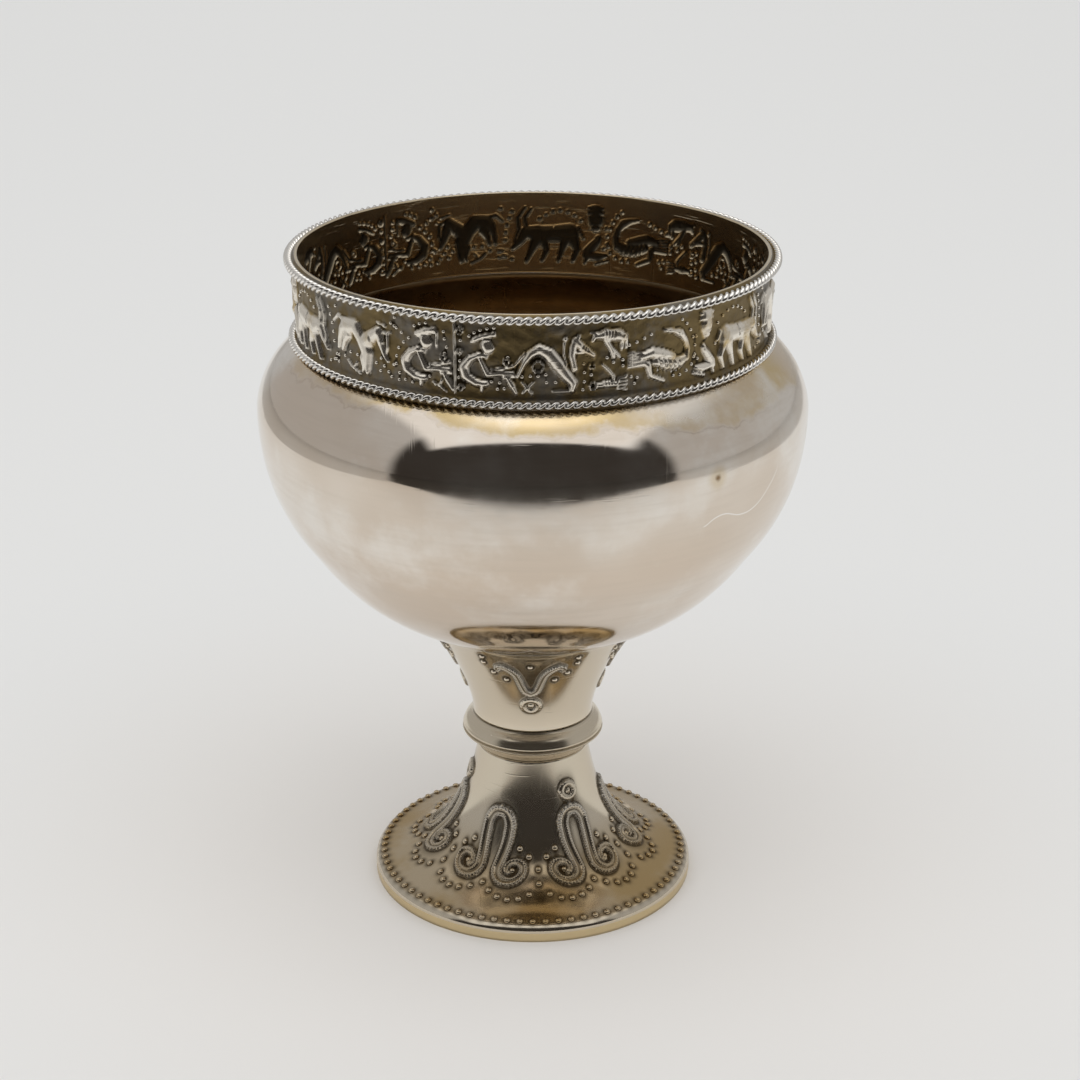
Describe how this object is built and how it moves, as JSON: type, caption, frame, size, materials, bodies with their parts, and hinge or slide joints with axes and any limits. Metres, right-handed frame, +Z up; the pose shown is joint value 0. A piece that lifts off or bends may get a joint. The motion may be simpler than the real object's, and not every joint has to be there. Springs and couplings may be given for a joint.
{
  "type": "silver-gilt cup",
  "caption": "Footed silver-gilt cup: round shouldered bowl, upright band of chased animals between twisted wires, flared collar, knop and a spreading foot with scrolls and beads.",
  "frame": {"origin": "centre of the foot's flat underside", "axes": "+Z up along the cup's axis; the pictured front of the band looks towards -Y"},
  "size_m": [0.1188, 0.1188, 0.1474],
  "materials": {
    "polished_silver": "polished silver with fine scratches and a worn gilt edge under the band",
    "oxidised_silver": "chased silver, bright on the figures and dark in the ground",
    "silver_wire": "bright twisted wire, dark between the strands",
    "gilt_stem": "pale worn gilding over silver, dark round the ornament",
    "gilt_foot": "pale gilding, yellower on the base strip, dark round the ornament"
  },
  "bodies": {
    "root": {"foot": "gilt_foot", "knop": "gilt_stem", "stem_collar": "gilt_stem", "bowl": "polished_silver", "frieze_band": "oxidised_silver", "lower_rope": "silver_wire", "rim_rope": "silver_wire"}
  },
  "joints": []
}
